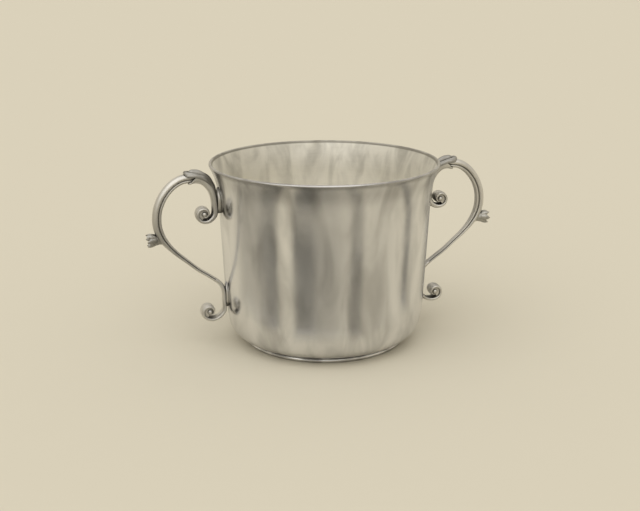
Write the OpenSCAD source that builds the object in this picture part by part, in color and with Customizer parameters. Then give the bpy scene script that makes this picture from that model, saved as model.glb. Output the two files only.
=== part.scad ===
// Two-handled silver cup with a flared lip, a moulded foot ring and cast scroll handles.
// The handles lie along X, the cup's axis is Z and the foot stands on Z = 0. Millimetres.

/* [Cup] */
// Diameter over the rim
rim_d = 114; // [90:1:140]
// Height of the cup from the table to the rim
cup_h = 91; // [80:1:120]
// Height of the flared lip
flare_h = 15; // [8:0.5:22]
// Angle that the rim leans out from upright
lip_angle = 28; // [12:1:40]
// Angle that the straight wall leans out from upright
wall_angle = 2.9; // [0.5:0.1:6]
// Height above the table where the wall starts to turn in
belly_z = 21; // [17:0.5:30]
// Angle that the belly turns through before the tight corner
belly_angle = 10; // [6:1:25]
// Radius of the tight corner at the bottom
corner_r = 10.5; // [6:0.5:14]
// Thickness of the wall and the bottom
wall_t = 0.9; // [0.6:0.1:2]
// Thickness of the rim's edge
lip_t = 1.6; // [1:0.1:2.4]

/* [Foot] */
// Height of the foot ring
foot_h = 2.4; // [1.5:0.1:5]
// How far the foot ring stands out past the flat of the bottom
foot_out = 2.6; // [1:0.1:4]
// Width of the foot ring
foot_w = 5; // [4.5:0.1:9]
// How far the foot ring's moulding bulges
foot_bulge = 1.3; // [0.6:0.1:2]

/* [Solder pads] */
// Height of a pad
pad_h = 13; // [9:0.5:16]
// Width of a pad
pad_w = 5.8; // [4:0.1:8]
// Thickness of a pad where it is thinnest
pad_t = 0.6; // [0.4:0.1:2]
// Distance from the rim down to the middle of the upper pad
upper_pad_drop = 16.6; // [14:0.5:22]
// Height of the middle of the lower pad above the table
lower_pad_z = 26.4; // [22:0.5:34]

/* [Stem] */
// Distance from the lower pad's face to the middle of the stem at its widest
stem_out = 32.4; // [26:0.5:40]
// Thickness of the stem, in the plane of the handle
stem_t = 4.4; // [3:0.1:6]
// Width of the stem, across the handle
stem_w = 4.8; // [3:0.1:6]
// Thickness of the tail where it meets the lower scroll
tail_t = 1.9; // [1.4:0.1:3]
// Width of the tail where it meets the lower scroll
tail_w = 3.6; // [2.5:0.1:5]
// Distance from the lower pad's face to the tail's end
tail_reach = 5.2; // [4:0.1:8]
// Height of the tail's end above the middle of the lower pad
tail_rise = 8.2; // [7:0.1:11]

/* [Scrolls] */
// Distance from the upper pad's face to the calyx
scroll_reach = 14.3; // [12:0.1:18]
// Height of the calyx above the middle of the upper pad
scroll_rise = 11.6; // [9:0.1:13]
// Thickness of the upper limb
limb_t = 3.2; // [2.2:0.1:4]
// Width of the upper limb
limb_w = 4.8; // [3.5:0.1:6]
// How far the calyx stands out under the stem
calyx_lip = 0.8; // [0.3:0.1:1.5]
// Thickness of a volute's ribbon
ribbon_t = 2; // [1.4:0.1:2.6]
// Thickness of the ribbon at the volute's eye
ribbon_end_t = 1.3; // [0.8:0.1:1.6]
// Width of a volute's ribbon
ribbon_w = 7; // [5:0.1:9]
// Radius of a volute, to the middle of its ribbon
volute_r = 4.4; // [4:0.1:5.6]
// Angle that a volute turns through
volute_angle = 460; // [420:10:500]
// Diameter of a volute's eye
eye_d = 1.8; // [1.2:0.1:2.4]
// Distance from the upper pad's face to the upper eye
upper_eye_out = 6.8; // [6.5:0.1:9]
// Distance from the middle of the upper pad down to the upper eye
upper_eye_drop = 6; // [4:0.1:8]
// Distance from the lower pad's face to the lower eye
lower_eye_out = 8.4; // [7.5:0.1:11]
// Distance from the middle of the lower pad down to the lower eye
lower_eye_drop = 7.8; // [6:0.1:10]

/* [Leaf] */
// Thickness of the leaf at its fullest
leaf_t = 1.7; // [0.8:0.1:2.2]
// How far the leaf stands out past the limb's sides
leaf_out = 0.9; // [0.3:0.1:1.6]
// How far the leaf's tip runs out over the stem
leaf_tip = 2.2; // [1:0.1:4]
// Number of lobes along each edge of the leaf
leaf_lobes = 4; // [2:1:6]

/* [Bud] */
// Length of the bud
bud_l = 6.1; // [4:0.1:9]
// Diameter over the petals
bud_d = 6.8; // [4.5:0.1:8]
// Diameter of the bud at the stem
bud_base_d = 4; // [2.5:0.1:4.4]
// Number of petals
bud_petals = 6; // [4:1:8]
// Depth of the cuts between the petals
petal_cut = 1.2; // [0.5:0.1:2.5]
// Angle that the bud lifts above square to the stem
bud_angle = 22; // [0:1:28]

/* [Hidden] */
$fn = 96;
silver = [0.78, 0.76, 0.72];
// Points along each arc of the cup's outline
arc_steps = 10;
// Points round a bar, and rings to each step of the handle's centreline
sides = 16;
rings_per_step = 2;
// Points round the bud, and steps along a volute
bud_sides = 24;
spiral_steps = 16;
// How squarely a bar's section is rounded: 1 is an ellipse, less is squarer
squareness = 0.75;
// Depth of the flats filed on the scrolls at the pads, and on the stem at the bud
file_depth = 0.3;
bud_file_depth = 0.5;
// Turn over which the ribbon eases from the pad into its spiral
lead_angle = 120;
// How far the eye is let into the ribbon's end
eye_weld = 0.2;
// Clearance of the leaf over the start of the stem
leaf_clear = 0.2;
// Width of the ribbon's end and of the eye, as a share of the ribbon's width
eye_share = 0.8;
// Steps over which a limb eases into its volute's ribbon, and the ribbon into its end
ribbon_ease = 4;
end_ease = 5;
// Step of the stem where the bud sits, counted from the tail's end
bud_step = 6;
// Sides of the round cup that the pads are cut to fit
fit_sides = 720;

// Outline of the cup: points are [radius, height, lean], where lean is the wall's angle from upright
corner_lean = wall_angle + belly_angle;
rim_z = cup_h - lip_t / 2 * (1 + sin(lip_angle));
rim_r = rim_d / 2 - lip_t / 2 * (1 - cos(lip_angle));
flare_r = flare_h / (sin(lip_angle) - sin(wall_angle));
wall_top_z = rim_z - flare_h;
wall_top_r = rim_r - flare_r * (cos(wall_angle) - cos(lip_angle));
wall_low_r = wall_top_r - (wall_top_z - belly_z) * tan(wall_angle);
belly_drop = belly_z - foot_h - corner_r * (1 - sin(corner_lean));
belly_r = belly_drop / (sin(corner_lean) - sin(wall_angle));
corner_top_r = wall_low_r - belly_r * (cos(wall_angle) - cos(corner_lean));
corner_top_z = belly_z - belly_drop;
flat_r = corner_top_r - corner_r * cos(corner_lean);

// Points of an arc whose lean goes from one angle to another, starting at a radius and a height
function arc(r, z, bend_r, from, to) = [for (i = [0 : arc_steps])
    let (lean = from + (to - from) * i / arc_steps)
    [r + bend_r * (cos(from) - cos(lean)), z + bend_r * (sin(lean) - sin(from)), lean]];
function backwards(list) = [for (i = [len(list) - 1 : -1 : 0]) list[i]];

outline = concat(
    backwards(arc(corner_top_r, corner_top_z, -corner_r, corner_lean, 90)),
    backwards(arc(wall_low_r, belly_z, -belly_r, wall_angle, corner_lean)),
    arc(wall_top_r, wall_top_z, flare_r, wall_angle, lip_angle)
);
function wall_radius(z) = lookup(z, [for (p = outline) [p[1], p[0]]]);
function thickness_at(z) = wall_t + (lip_t - wall_t) * max(0, (z - wall_top_z) / flare_h);
inner_outline = [for (p = outline)
    let (t = thickness_at(p[1]))
    [p[0] - t * cos(p[2]), p[1] + t * sin(p[2])]];
rim_centre = [rim_d / 2 - lip_t / 2, cup_h - lip_t / 2];
rim_edge = [for (i = [1 : arc_steps - 1])
    let (a = 180 * i / arc_steps - lip_angle)
    rim_centre + lip_t / 2 * [cos(a), sin(a)]];

// Seats of the handle on the two pads: [x of the pad's face, height of its middle]
upper_pad_z = cup_h - upper_pad_drop;
upper_seat = [wall_radius(upper_pad_z + pad_h / 2) + pad_t, upper_pad_z];
lower_seat = [wall_radius(lower_pad_z + pad_h / 2) + pad_t, lower_pad_z];

// Centreline of the handle, as [x, z], from the lower eye to the upper eye
calyx = upper_seat + [scroll_reach, scroll_rise];
tail_end = lower_seat + [tail_reach, tail_rise];
upper_eye = upper_seat + [upper_eye_out, -upper_eye_drop];
lower_eye = lower_seat + [lower_eye_out, -lower_eye_drop];
eye_w = eye_share * ribbon_w;
spiral_end_r = eye_d / 2 + ribbon_end_t / 2 - eye_weld;
spiral_fall = (volute_r - spiral_end_r) / volute_angle;

// A volute's spiral about its eye, starting at a distance from it on the side of the pad
function spiral(eye, start_r) = [for (i = [0 : spiral_steps])
    let (turn = volute_angle * i / spiral_steps)
    let (lead = (start_r - volute_r) * pow(max(0, 1 - turn / lead_angle), 2))
    let (r = volute_r - spiral_fall * turn + lead)
    eye - r * [cos(turn), sin(turn)]];

limb_seat_x = limb_t / 2 - file_depth;
ribbon_seat_x = ribbon_t / 2 - file_depth;
upper_spiral = spiral(upper_eye, upper_eye_out - limb_seat_x);
lower_spiral = spiral(lower_eye, lower_eye_out - ribbon_seat_x);
// Points of the upper limb, as shares of the calyx's reach and rise, and a point on the pad, as a share
// of the eye's drop
limb_pad_share = -0.3;
limb_shape = [[0.74, 0.985], [0.47, 0.86], [0.27, 0.61], [0.145, 0.28]];
limb_points = concat(
    [for (s = limb_shape) upper_seat + [s[0] * scroll_reach, s[1] * scroll_rise]],
    [upper_seat + [limb_seat_x, limb_pad_share * upper_eye_drop]]
);
// Points of the lower limb, from the pad up to the tail's end: on the pad as shares of the eye's drop,
// then as shares of the tail's reach and rise
tail_pad_shares = [-0.4, 0.15];
tail_shape = [[0.32, 0.55], [0.6, 0.79]];
lower_limb_points = concat(
    [for (s = tail_pad_shares) lower_seat + [ribbon_seat_x, s * lower_eye_drop]],
    [for (s = tail_shape) lower_seat + [s[0] * tail_reach, s[1] * tail_rise]]
);
// Points of the stem, as shares of its reach and of the height from the tail's end to the calyx
stem_shape = [
    [0.28, 0.055], [0.41, 0.112], [0.58, 0.204], [0.716, 0.278], [0.84, 0.36], [0.938, 0.45],
    [0.99, 0.54], [1, 0.63], [0.98, 0.722], [0.925, 0.81], [0.85, 0.882], [0.756, 0.942], [0.642, 0.985]
];
stem_points = [for (s = stem_shape)
    [lower_seat[0] + s[0] * stem_out, tail_end[1] + s[1] * (calyx[1] - tail_end[1])]];

lower_points = concat(backwards(lower_spiral), lower_limb_points);
upper_points = concat(limb_points, upper_spiral);
controls = concat(lower_points, [tail_end], stem_points, [calyx], upper_points);
tail_step = len(lower_points);
calyx_step = tail_step + len(stem_points) + 1;
last_step = len(controls) - 1;
tail_ring = tail_step * rings_per_step;
calyx_ring = calyx_step * rings_per_step;
last_ring = last_step * rings_per_step;

// Smooth curve through the control points
function blend(a, b, c, d, u) = 0.5 * (2 * b + (c - a) * u + (2 * a - 5 * b + 4 * c - d) * u * u
    + (3 * b - a - 3 * c + d) * u * u * u);
function control(i) = controls[max(0, min(last_step, i))];
function path(ring) = let (i = floor(ring / rings_per_step))
    blend(control(i - 1), control(i), control(i + 1), control(i + 2), ring / rings_per_step - i);
centreline = [for (ring = [0 : last_ring]) path(ring)];
function heading(ring) = let (a = centreline[max(0, ring - 1)], b = centreline[min(last_ring, ring + 1)])
    (b - a) / norm(b - a);
// Unit vector square to the centreline, towards the outside of the handle's big loop
function outward(ring) = let (h = heading(ring)) [h[1], -h[0]];

// Sections: each point is [distance outward, distance across]
function rounded(c) = sign(c) * pow(abs(c), squareness);
function section_angle(i) = 360 * (i + 0.5) / sides;
function bar(t, w, shift) = [for (i = [0 : sides - 1])
    let (a = section_angle(i))
    [shift + t / 2 * rounded(cos(a)), w / 2 * rounded(sin(a))]];
// Section of the stem, with a full outer lobe, a groove on each side and a narrow inner bead
stem_half = [
    [0.5, 0.13], [0.4, 0.34], [0.22, 0.47], [0.05, 0.5], [-0.06, 0.43],
    [-0.13, 0.3], [-0.21, 0.36], [-0.34, 0.37], [-0.45, 0.27], [-0.5, 0.1]
];
function stem_bar(t, w) = concat(
    [for (p = stem_half) [p[0] * t, p[1] * w]],
    [for (p = backwards(stem_half)) [p[0] * t, -p[1] * w]]
);
// A section set square on the centreline at a ring
function placed(section, at, out) = [for (p = section)
    [at[0] + p[0] * out[0], p[1], at[1] + p[0] * out[1]]];
function kept_right_of(ring_points, x) = [for (p = ring_points) [max(p[0], x), p[1], p[2]]];

// Solid through a list of rings, closed at both ends; points of a ring mirror each other end for end
module skin(rings) {
    n = len(rings[0]);
    last = (len(rings) - 1) * n;
    walls = [for (r = [0 : len(rings) - 2]) for (i = [0 : n - 1])
        let (a = r * n + i, b = r * n + (i + 1) % n)
        each [[a, a + n, b + n], [a, b + n, b]]];
    first_cap = [for (i = [0 : n / 2 - 2]) each [[i, i + 1, n - 2 - i], [i, n - 2 - i, n - 1 - i]]];
    last_cap = [for (f = first_cap) [last + f[2], last + f[1], last + f[0]]];
    polyhedron(points = [for (r = rings) each r], faces = concat(walls, first_cap, last_cap));
}

// Sizes along the upper scroll, by steps from the calyx
limb_steps = len(limb_points) + 1;
upper_end = last_step - calyx_step;
calyx_t = stem_t + calyx_lip + leaf_clear;
neck_t = (stem_t + limb_t) / 2;
upper_thickness = [
    [0, calyx_t], [1, neck_t], [2, neck_t], [4, limb_t],
    [limb_steps, limb_t], [limb_steps + ribbon_ease, ribbon_t], [upper_end, ribbon_end_t]
];
upper_width = [
    [0, stem_w + calyx_lip], [2, limb_w], [limb_steps, limb_w],
    [limb_steps + ribbon_ease, ribbon_w], [upper_end - end_ease, ribbon_w], [upper_end, eye_w]
];
calyx_shift = [[0, (leaf_clear - calyx_lip) / 2], [1, 0]];
function upper_section(step) = bar(lookup(step, upper_thickness), lookup(step, upper_width),
    lookup(step, calyx_shift));

// Sizes along the lower scroll, by steps from the eye
lower_ease_step = spiral_steps - ribbon_ease;
lower_thickness = [
    [0, ribbon_end_t], [lower_ease_step, ribbon_t], [tail_step - 2, ribbon_t], [tail_step, tail_t]
];
lower_width = [
    [0, eye_w], [end_ease, ribbon_w], [lower_ease_step, ribbon_w],
    [lower_ease_step + ribbon_ease + 1, limb_w], [tail_step, tail_w]
];

// How far the stem has swelled from its tail to its full section, by steps from the tail's end
swell = [[0, 0], [3, 0.06], [4, 0.18], [5, 0.4], [6, 0.85], [7, 1]];
function swelled(ring, from, to) = from + (to - from) * lookup((ring - tail_ring) / rings_per_step, swell);
function stem_thickness(ring) = swelled(ring, tail_t, stem_t);

// Seat of the bud, on a flat filed square to the stem
bud_ring = tail_ring + bud_step * rings_per_step;
bud_out = outward(bud_ring);
bud_seat = centreline[bud_ring] + bud_out * (stem_thickness(bud_ring) / 2 - bud_file_depth);
function filed(p) = let (over = ([p[0], p[2]] - bud_seat) * bud_out)
    over > 0 ? [p[0] - over * bud_out[0], p[1], p[2] - over * bud_out[1]] : p;

module cup_solid() {
    rotate_extrude($fn = fit_sides)
        polygon(concat([[0, foot_h]], [for (p = outline) [p[0], p[1]]], [[0, rim_z]]));
}

module body() {
    color(silver) rotate_extrude() polygon(concat(
        [[0, foot_h]],
        [for (p = outline) [p[0], p[1]]],
        rim_edge,
        backwards(inner_outline),
        [[0, foot_h + wall_t]]
    ));
}

module foot_ring() {
    foot_r = flat_r + foot_out;
    bulge = [for (i = [0 : arc_steps])
        let (a = 180 * i / arc_steps - 90)
        [foot_r - foot_bulge + foot_bulge * cos(a), foot_h / 2 * (1 + sin(a))]];
    color(silver) rotate_extrude()
        polygon(concat([[foot_r - foot_w, 0]], bulge, [[foot_r - foot_w, foot_h]]));
}

// Plate with pointed ends, fitted to the wall on one side and flat on the other
module pad(seat) {
    tip_r = (pad_h * pad_h + pad_w * pad_w) / (4 * pad_w);
    color(silver) difference() {
        translate([0, 0, seat[1]]) rotate([90, 0, 90]) linear_extrude(seat[0]) intersection() {
            translate([tip_r - pad_w / 2, 0]) circle(tip_r);
            translate([pad_w / 2 - tip_r, 0]) circle(tip_r);
        }
        cup_solid();
        translate([-rim_d, -rim_d / 2, 0]) cube([rim_d, rim_d, cup_h]);
    }
}

module eye(at) {
    translate([at[0], eye_w / 2, at[1]]) rotate([90, 0, 0]) cylinder(d = eye_d, h = eye_w);
}

module upper_scroll() {
    rings = [for (ring = [calyx_ring : last_ring])
        let (section = upper_section((ring - calyx_ring) / rings_per_step))
        kept_right_of(placed(section, centreline[ring], outward(ring)), upper_seat[0])];
    color(silver) union() {
        skin(rings);
        eye(upper_eye);
    }
}

module lower_scroll() {
    rings = [for (ring = [0 : tail_ring])
        let (step = ring / rings_per_step)
        let (section = bar(lookup(step, lower_thickness), lookup(step, lower_width), 0))
        kept_right_of(placed(section, centreline[ring], outward(ring)), lower_seat[0])];
    color(silver) union() {
        skin(rings);
        eye(lower_eye);
    }
}

module stem() {
    rings = [for (ring = [tail_ring : calyx_ring])
        let (section = stem_bar(stem_thickness(ring), swelled(ring, tail_w, stem_w)))
        [for (p = placed(section, centreline[ring], outward(ring))) filed(p)]];
    color(silver) skin(rings);
}

// Shape of the leaf from its tip (0) to its root (1): shares of its thickness and of its spread
leaf_thickness = [[0, 0.5], [0.15, 1], [0.45, 1], [0.75, 0.75], [1, 0.25]];
leaf_spread = [[0, 1], [0.75, 0.9], [1, 0.3]];
// Spread left between two lobes, and how far the tip narrows, flattens and lifts
lobe_valley = 0.55;
tip_narrowing = 0.45;
tip_flattening = 0.7;
tip_lift = 0.2;
// Rings in the leaf's tip, and steps of the limb that the rest covers
tip_rings = 4;
leaf_steps = 4;

// The leaf's underside is the limb's own outer face, and past the calyx it lifts clear of the stem
module acanthus_leaf() {
    root_rings = leaf_steps * rings_per_step;
    count = tip_rings + root_rings;
    quarter = sides / 4;
    function under(section) = [for (i = [-quarter : quarter - 1]) section[(i + sides) % sides]];
    rings = [for (k = [0 : count])
        let (past = max(0, tip_rings - k) / tip_rings, ring = calyx_ring + max(0, k - tip_rings))
        let (along = k / count, section = under(upper_section((ring - calyx_ring) / rings_per_step)))
        let (lobe = lobe_valley + (1 - lobe_valley) * abs(sin(180 * leaf_lobes * along)))
        let (thick = leaf_t * lookup(along, leaf_thickness))
        let (side = leaf_out * lobe * lookup(along, leaf_spread))
        let (narrow = 1 - tip_narrowing * past * past, flat = 1 - tip_flattening * past)
        let (top = section[quarter][0])
        let (lift = past * (leaf_clear + tip_lift * leaf_tip * past))
        let (below = [for (p = section) [top + (p[0] - top) * flat + lift, p[1] * narrow]])
        let (above = [for (i = [0 : len(below) - 1])
            let (a = section_angle(i - quarter))
            [below[i][0] + thick * rounded(cos(a)), below[i][1] + side * rounded(sin(a))]])
        let (at = centreline[ring] - heading(ring) * leaf_tip * past)
        placed(concat(above, backwards(below)), at, outward(ring))];
    color(silver) skin(rings);
}

// The bud is a cup of petals: its rings go up the outside and down the inside
module bud() {
    tilt = atan2(bud_out[1], bud_out[0]) + bud_angle;
    axis = [cos(tilt), sin(tilt)];
    side = [axis[1], -axis[0]];
    slant = (side * bud_out) / (axis * bud_out);
    // Each ring is [share of the length, share of the petals' radius, share of the cut between petals]
    rows = [
        [0.3, 0.82, 0], [0.6, 0.97, 0.1], [0.85, 0.96, 0.6], [1, 1, 1],
        [0.97, 0.84, 1], [0.8, 0.7, 0.6], [0.6, 0.5, 0.1]
    ];
    base = [for (i = [0 : bud_sides - 1])
        let (a = 360 * (i + 0.5) / bud_sides, r = bud_base_d / 2)
        let (at = bud_seat + r * cos(a) * (side - slant * axis))
        [at[0], r * sin(a), at[1]]];
    rings = [for (row = rows) [for (i = [0 : bud_sides - 1])
        let (a = 360 * (i + 0.5) / bud_sides, r = row[1] * bud_d / 2)
        let (cut = petal_cut * row[2] * pow(abs(cos(a * bud_petals / 2)), 3))
        let (at = bud_seat + (row[0] * bud_l - cut) * axis + r * cos(a) * side)
        [at[0], r * sin(a), at[1]]]];
    color(silver) skin(concat([base], rings));
}

module on_left() {
    rotate([0, 0, 180]) children();
}

body();
foot_ring();
on_left() pad(upper_seat);  // left_upper_pad
on_left() pad(lower_seat);  // left_lower_pad
on_left() upper_scroll();  // left_upper_scroll
on_left() lower_scroll();  // left_lower_scroll
on_left() stem();  // left_stem
on_left() acanthus_leaf();  // left_acanthus_leaf
on_left() bud();  // left_bud
pad(upper_seat);  // right_upper_pad
pad(lower_seat);  // right_lower_pad
upper_scroll();  // right_upper_scroll
lower_scroll();  // right_lower_scroll
stem();  // right_stem
acanthus_leaf();  // right_acanthus_leaf
bud();  // right_bud
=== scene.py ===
"""Looks of a two-handled silver cup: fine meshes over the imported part, silver, studio light and camera.

Lengths are millimetres in the part's own frame, with the handles along X, the cup's axis on Z and the
table at Z = 0. They become metres where a mesh, a material or the camera is made. Angles are degrees.
"""

import math

import bmesh
import bpy
import numpy as np
from mathutils import Matrix, Vector, noise


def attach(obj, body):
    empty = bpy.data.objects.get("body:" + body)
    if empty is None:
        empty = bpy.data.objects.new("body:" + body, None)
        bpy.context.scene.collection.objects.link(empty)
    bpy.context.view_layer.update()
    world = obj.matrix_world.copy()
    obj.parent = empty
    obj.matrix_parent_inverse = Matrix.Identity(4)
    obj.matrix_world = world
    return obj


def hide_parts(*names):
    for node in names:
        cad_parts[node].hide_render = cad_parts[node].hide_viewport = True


MM = 0.001

# Cup and foot ring, as in the part's source
RIM_D = 114
CUP_H = 91
FLARE_H = 15
LIP_ANGLE = 28
WALL_ANGLE = 2.9
BELLY_Z = 21
BELLY_ANGLE = 10
CORNER_R = 10.5
WALL_T = 0.9
LIP_T = 1.6
FOOT_H = 2.4
FOOT_OUT = 2.6
FOOT_W = 5
FOOT_BULGE = 1.3

# Radius of the plain disc in the middle of the bottom
HUB_R = 2

# Unevenness left in the raised wall by the hammer: its depth, the distance between hollows, how far above
# the bottom it starts and the height over which it fades in and out
HAMMER_DEPTH = 0.05
HAMMER_PITCH = 14
HAMMER_START = 2
HAMMER_FADE = 8

# Solder pads, with the rounding of their edge, the blunting of their points and their sink into the wall
PAD_H = 13
PAD_W = 5.8
PAD_T = 0.6
UPPER_PAD_DROP = 16.6
LOWER_PAD_Z = 26.4
PAD_EDGE = 0.25
PAD_BLUNT = 0.05
PAD_SINK = 0.05

# Stem, with the steps that it runs on inside the limb and its size at that end, as a share
STEM_OUT = 32.4
STEM_T = 4.4
STEM_W = 4.8
TAIL_T = 1.9
TAIL_W = 3.6
TAIL_REACH = 5.2
TAIL_RISE = 8.2
STEM_TUCK = 1.7
TUCK_SHARE = 0.55

# Upper limb and its end at the calyx, which is set back by some steps, and by more on its outer side
SCROLL_REACH = 14.3
SCROLL_RISE = 11.6
LIMB_T = 3.2
LIMB_W = 4.8
CALYX_LIP = 0.8
CALYX_ROUND = 0.5
CALYX_BACK = 0.5
CALYX_SLANT = 0.8
SLANT_REACH = 3

# Tongue under the calyx: steps back to its root and on to its end, thickness, lift off the stem, and sink
# into the limb for each step. Then shares: its width, its taper, how much of it rounds off at the end, the
# least square of that rounding, and the width that the rounding leaves
HOOK_ROOT = 0.7
HOOK_L = 0.45
HOOK_T = 1.4
HOOK_PEEL = 0.3
HOOK_SINK = 0.7
HOOK_W_SHARE = 0.8
HOOK_TAPER = 0.2
HOOK_ROUND = 0.4
HOOK_BLUNT = 0.02
HOOK_END_W = 0.3

# Volutes, with the web between their turns and the pearls on their eyes, flat within an angle of the pole
RIBBON_T = 2
RIBBON_END_T = 1.3
RIBBON_W = 7
EYE_SHARE = 0.8
EYE_W = EYE_SHARE * RIBBON_W
VOLUTE_R = 4.4
VOLUTE_ANGLE = 460
LEAD_ANGLE = 120
EYE_D = 1.8
EYE_WELD = 0.2
PEARL_D = 2.5
PEARL_SINK = 0.3
PEARL_POLE = 2
WEB_T = 5.2
UPPER_EYE_OUT = 6.8
UPPER_EYE_DROP = 6
LOWER_EYE_OUT = 8.4
LOWER_EYE_DROP = 7.8
FILE_DEPTH = 0.3

# Steps over which a limb eases into its volute's ribbon, and the ribbon into its end
RIBBON_EASE = 4
END_EASE = 5

# Reed along each edge of a volute's ribbon: its depth, its place and spread as shares of the half width, and
# the most that it may cut, as a share of the thickness
REED_DEPTH = 0.22
REED_PLACE = 0.7
REED_SPREAD = 0.1
REED_LIMIT = 0.25

# Leaf, which covers some steps of the limb and has a tip that runs on over the stem
LEAF_T = 1.9
LEAF_OUT = 0.75
LEAF_TIP = 1.6
LEAF_LOBES = 4
LEAF_CLEAR = 0.2
LEAF_STEPS = 4

# Bud: its base narrows across the stem to a share, and it leans from the waist, at a share of its length
BUD_L = 6.1
BUD_D = 6.8
BUD_WAIST = 0.3
BUD_BASE_SHARE = 0.5
BUD_LIFT = 22
BUD_STEP = 6
BUD_FILE_DEPTH = 0.5

# Petals: depth of the cuts between them, how pointed they are, and the crease down each cut
BUD_PETALS = 6
PETAL_CUT = 1.5
PETAL_POINT = 1.5
CREASE_DEPTH = 0.14
CREASE_SHARPNESS = 8

# Fineness of the meshes
SEGMENTS = 256
ARC_STEPS = 24
SPIRAL_STEPS = 16
RINGS_PER_STEP = 10
EASE_POINTS = 5
LEAF_EASE_POINTS = 9
BAR_SIDES = 64
STEM_POINTS_PER_CORNER = 5
CALYX_RINGS = 7
HOOK_RINGS = 36
PAD_RINGS = 49
PAD_COLUMNS = 25
PEARL_RINGS = 16
PEARL_SIDES = 32
TIP_RINGS = 40
LEAF_RINGS = 90
LEAF_COLUMNS = 101
BUD_RINGS_PER_ROW = 8
BUD_SIDES = 96

# How squarely a bar's section is rounded: 1 is an ellipse, less is squarer
SQUARENESS = 0.75
# Edges that turn more than this stay sharp
SHARP_ANGLE = 50

# Noise in the silver: stretch along each axis, scale per metre, detail and swirl
BLOOM = {"stretch": (1, 1, 0.35), "detail": 4, "swirl": 0.8}
WIPED = {"stretch": (1, 1, 0.5), "scale": 120, "detail": 4}
LINES = {"stretch": (1, 1, 6), "scale": 140, "detail": 2}
DENTS = {"stretch": (1, 1, 0.6), "scale": 90, "detail": 1}

# Noise that makes no tarnish and full tarnish, and openness of a hollow that makes no and full darkening,
# partly tarnish and partly painted shade
BLOOM_RANGE = (0.35, 0.75)
HOLLOW_RANGE = (0.85, 0.35)
# Noise that gives the least and the most roughness, with the shares of the lines and the hollows in it
GLOSS_RANGE = (0.3, 0.7)
LINE_SHARE = 0.3
HOLLOW_DULLING = 0.3
DENT_STRENGTH = 0.5
DENT_DEPTH = 0.05
# Least and most roughness of the cast pieces
CAST_ROUGHNESS = (0.34, 0.48)
# Share by which the painted shade bands are lightened at the crest of the lip, where use wears silver bright
LIP_WEAR = 0.3
# Least upward normal of the faces that make the bottom inside the cup
BOTTOM_NORMAL = 0.9

# Camera, fitted to the photograph's rim, foot and handles
CAMERA_TARGET = (-2.115, 0.606, 42.207)
CAMERA_BEARING = -16
CAMERA_HEIGHT = 16.305
CAMERA_DISTANCE = 550
CAMERA_LENS = 61.17
CLIP_NEAR = 10
CLIP_FAR = 100000

# Floor, sky at the horizon and overhead, and grey felt for the screens round the cup
PAPER = (0.65, 0.613, 0.515)
HORIZON = (0.716, 0.651, 0.515)
ZENITH = (0.81, 0.778, 0.713)
FELT = (0.192, 0.2, 0.212)
DULL = 0.9
DULL_SPECULAR = 0.1
FLOOR_R = 8000
FLOOR_SIDES = 72
SCREEN_NEAR = 88
SCREEN_FAR = 118
SCREEN_FADE = 12


def cosd(angle):
    return math.cos(math.radians(angle))


def sind(angle):
    return math.sin(math.radians(angle))


def lookup(table, step):
    """Value at a step in a table of (step, value) rows, straight between them and eased at each row."""
    rows = np.array(table, float)
    near = step + np.linspace(-0.5, 0.5, EASE_POINTS)
    return float(np.interp(near, rows[:, 0], rows[:, 1]).mean())


def blend(a, b, c, d, u):
    """Smooth curve from b to c, on its way from a to d."""
    return 0.5 * (2 * b + (c - a) * u + (2 * a - 5 * b + 4 * c - d) * u**2 + (3 * b - a - 3 * c + d) * u**3)


# Outline of the cup: points are (radius, height, lean), where lean is the wall's angle from upright
def arc(r, z, bend_r, start, end):
    leans = np.linspace(start, end, ARC_STEPS + 1)
    return [(r + bend_r * (cosd(start) - cosd(a)), z + bend_r * (sind(a) - sind(start)), a) for a in leans]


CORNER_LEAN = WALL_ANGLE + BELLY_ANGLE
RIM_Z = CUP_H - LIP_T / 2 * (1 + sind(LIP_ANGLE))
RIM_R = RIM_D / 2 - LIP_T / 2 * (1 - cosd(LIP_ANGLE))
FLARE_R = FLARE_H / (sind(LIP_ANGLE) - sind(WALL_ANGLE))
WALL_TOP_Z = RIM_Z - FLARE_H
WALL_TOP_R = RIM_R - FLARE_R * (cosd(WALL_ANGLE) - cosd(LIP_ANGLE))
WALL_LOW_R = WALL_TOP_R - (WALL_TOP_Z - BELLY_Z) * math.tan(math.radians(WALL_ANGLE))
BELLY_DROP = BELLY_Z - FOOT_H - CORNER_R * (1 - sind(CORNER_LEAN))
BELLY_R = BELLY_DROP / (sind(CORNER_LEAN) - sind(WALL_ANGLE))
CORNER_TOP_R = WALL_LOW_R - BELLY_R * (cosd(WALL_ANGLE) - cosd(CORNER_LEAN))
CORNER_TOP_Z = BELLY_Z - BELLY_DROP
FLAT_R = CORNER_TOP_R - CORNER_R * cosd(CORNER_LEAN)


def wall_rows():
    """Straight wall between the belly and the flare, without its two ends."""
    shares = np.linspace(0, 1, ARC_STEPS + 1)[1:-1]
    rise, spread = WALL_TOP_Z - BELLY_Z, WALL_TOP_R - WALL_LOW_R
    return [(WALL_LOW_R + s * spread, BELLY_Z + s * rise, WALL_ANGLE) for s in shares]


OUTLINE = (
    arc(CORNER_TOP_R, CORNER_TOP_Z, -CORNER_R, CORNER_LEAN, 90)[::-1]
    + arc(WALL_LOW_R, BELLY_Z, -BELLY_R, WALL_ANGLE, CORNER_LEAN)[-2::-1]
    + wall_rows()
    + arc(WALL_TOP_R, WALL_TOP_Z, FLARE_R, WALL_ANGLE, LIP_ANGLE)
)


def wall_radius(z):
    return float(np.interp(z, [p[1] for p in OUTLINE], [p[0] for p in OUTLINE]))


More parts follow.
